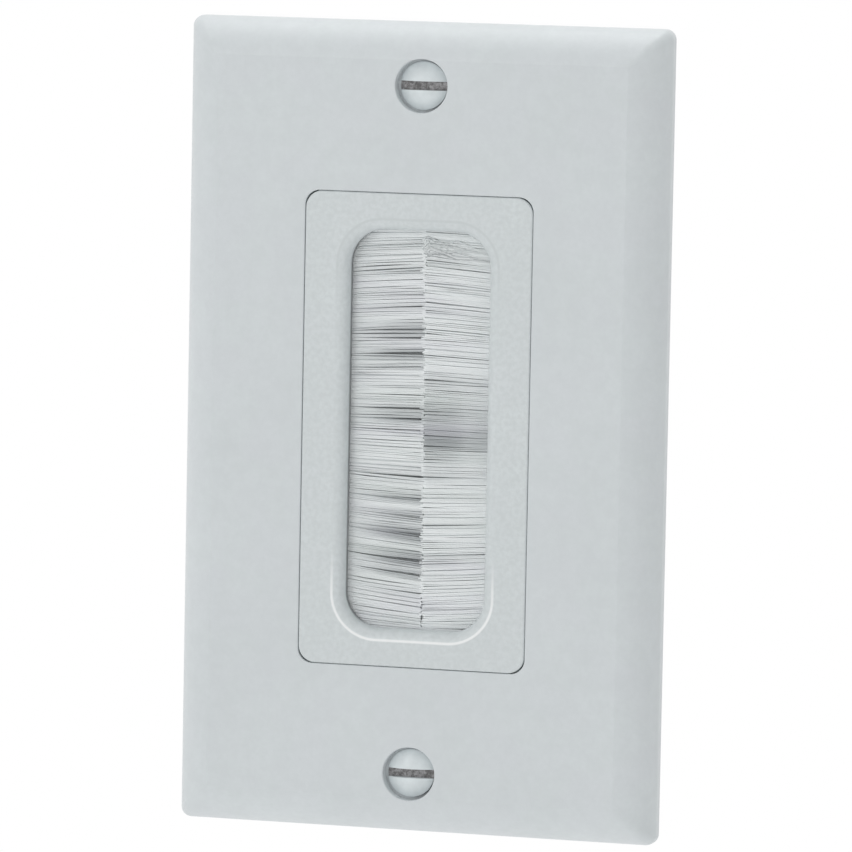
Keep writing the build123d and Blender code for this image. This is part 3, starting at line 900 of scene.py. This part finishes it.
class BRUSHPLATE_OT_stage(bpy.types.Operator):
    """Sets up the floor, the even light, the lamps and the camera"""

    bl_idname = "brushplate.stage"
    bl_label = "Stage"

    def execute(self, context):
        settings = context.scene.brush_stage
        scene = context.scene
        scene.view_settings.view_transform = "Standard"
        self.sky(scene, settings)
        self.floor(scene, settings)
        middle = Vector(settings.target)
        for name, (offset, width) in LAMPS.items():
            spot = middle + Vector(offset)
            self.lamp(scene, name + "_lamp", spot, middle, width, getattr(settings, name))
        self.camera(scene, settings)
        return {"FINISHED"}

    def seen(self, start):
        """One where the background is seen: straight, in a reflection or through something."""
        rays = start.node("ShaderNodeLightPath", output="Is Camera Ray")
        return rays.most(rays.out("Is Glossy Ray")).most(rays.out("Is Transmission Ray"))

    def sky(self, scene, settings):
        """Even light from all round, stronger from the left, behind a white backdrop."""
        world = bpy.data.worlds.new("even_light")
        world.use_nodes = True
        world.node_tree.nodes.clear()
        start = Signal(world.node_tree)
        direction = start.node("ShaderNodeTexCoord", output="Generated")
        side = start.node("ShaderNodeSeparateXYZ", {}, {0: direction}).out("X")
        power = (side * -settings.left_sky).most(0.0) + settings.sky
        light = start.node("ShaderNodeBackground", {}, {"Color": WHITE, "Strength": power})
        white = start.node("ShaderNodeBackground", {}, {"Color": WHITE, "Strength": 1.0})
        both = start.node("ShaderNodeMixShader", {}, {0: self.seen(start), 1: light, 2: white})
        output = world.node_tree.nodes.new("ShaderNodeOutputWorld")
        world.node_tree.links.new(both.socket, output.inputs["Surface"])
        scene.world = world

    def floor(self, scene, settings):
        """A pale floor that keeps the shadow and fades into the backdrop."""
        bm = bmesh.new()
        bmesh.ops.create_grid(bm, x_segments=8, y_segments=8, size=FLOOR_SIZE,
                              matrix=Matrix.Translation((0, 0, -settings.floor_drop)))
        mesh = bpy.data.meshes.new("floor")
        bm.to_mesh(mesh)
        bm.free()
        material, start = new_material("pale_floor")
        paint = start.node("ShaderNodeBsdfDiffuse", {}, {"Color": FLOOR_PAINT})
        glow = start.node("ShaderNodeEmission", {}, {"Color": WHITE, "Strength": 1.0})
        where = start.node("ShaderNodeTexCoord", output="Object")
        away = start.node("ShaderNodeVectorMath", {"operation": "LENGTH"}, {0: where}, 1)
        share = (self.seen(start) * away.fit(0.1, 0.45, FLOOR_GLOW, 1.0)).most(FLOOR_GLOW)
        both = start.node("ShaderNodeMixShader", {}, {0: share, 1: paint, 2: glow})
        output = start.tree.nodes.new("ShaderNodeOutputMaterial")
        start.tree.links.new(both.socket, output.inputs["Surface"])
        mesh.materials.append(material)
        floor = bpy.data.objects.new("floor", mesh)
        scene.collection.objects.link(floor)

    def lamp(self, scene, name, spot, aim, size, power):
        """A soft round lamp at a spot, turned to a point."""
        light = bpy.data.lights.new(name, "AREA")
        light.shape = "DISK"
        light.size = size
        light.energy = power
        lamp = bpy.data.objects.new(name, light)
        lamp.location = spot
        lamp.rotation_euler = (aim - spot).to_track_quat("-Z", "Y").to_euler()
        scene.collection.objects.link(lamp)

    def camera(self, scene, settings):
        """The camera that sees the object as the photo does."""
        azimuth, elevation, roll = settings.azimuth, settings.elevation, settings.roll
        back = Vector((math.sin(azimuth) * math.cos(elevation),
                       -math.cos(azimuth) * math.cos(elevation), math.sin(elevation)))
        level = Vector((math.cos(azimuth), math.sin(azimuth), 0))
        lift = back.cross(level)
        right = level * math.cos(roll) + lift * math.sin(roll)
        up = lift * math.cos(roll) - level * math.sin(roll)
        data = bpy.data.cameras.new("photo_camera")
        data.lens = settings.lens
        data.sensor_width = SENSOR_WIDTH
        data.clip_start = 0.01
        data.clip_end = 20
        camera = bpy.data.objects.new("photo_camera", data)
        turn = Matrix((right, up, back)).transposed().to_4x4()
        spot = Vector(settings.target) + back * settings.distance
        camera.matrix_world = Matrix.Translation(spot) @ turn
        scene.collection.objects.link(camera)
        scene.camera = camera


class BRUSHPLATE_PT_panel(bpy.types.Panel):
    """Lists the steps that dress the brush plate"""

    bl_label = "Brush plate"
    bl_idname = "BRUSHPLATE_PT_panel"
    bl_space_type = "VIEW_3D"
    bl_region_type = "UI"
    bl_category = "Brush plate"

    def draw(self, context):
        for group, step in STEPS:
            box = self.layout.box()
            if group:
                settings = getattr(context.scene, group)
                for name in settings.__annotations__:
                    box.prop(settings, name)
            box.operator(step.bl_idname)


STEPS = (
    ("brush_plastic", BRUSHPLATE_OT_mouldings),
    ("brush_bristles", BRUSHPLATE_OT_bristles),
    ("brush_screws", BRUSHPLATE_OT_plate_screws),
    (None, BRUSHPLATE_OT_box_screws),
    (None, BRUSHPLATE_OT_hardware),
    ("brush_stage", BRUSHPLATE_OT_stage),
)
GROUPS = {
    "brush_plastic": PlasticSettings,
    "brush_bristles": BristleSettings,
    "brush_screws": ScrewSettings,
    "brush_stage": StageSettings,
}


def register():
    for name, group in GROUPS.items():
        bpy.utils.register_class(group)
        setattr(bpy.types.Scene, name, bpy.props.PointerProperty(type=group))
    for _, step in STEPS:
        bpy.utils.register_class(step)
    bpy.utils.register_class(BRUSHPLATE_PT_panel)


def unregister():
    bpy.utils.unregister_class(BRUSHPLATE_PT_panel)
    for _, step in reversed(STEPS):
        bpy.utils.unregister_class(step)
    for name, group in GROUPS.items():
        delattr(bpy.types.Scene, name)
        bpy.utils.unregister_class(group)


def main():
    register()
    bpy.ops.brushplate.mouldings()
    bpy.ops.brushplate.bristles()
    bpy.ops.brushplate.plate_screws()
    bpy.ops.brushplate.box_screws()
    bpy.ops.brushplate.hardware()
    bpy.ops.brushplate.stage()
    bpy.context.view_layer.update()


if __name__ == "__main__":
    main()
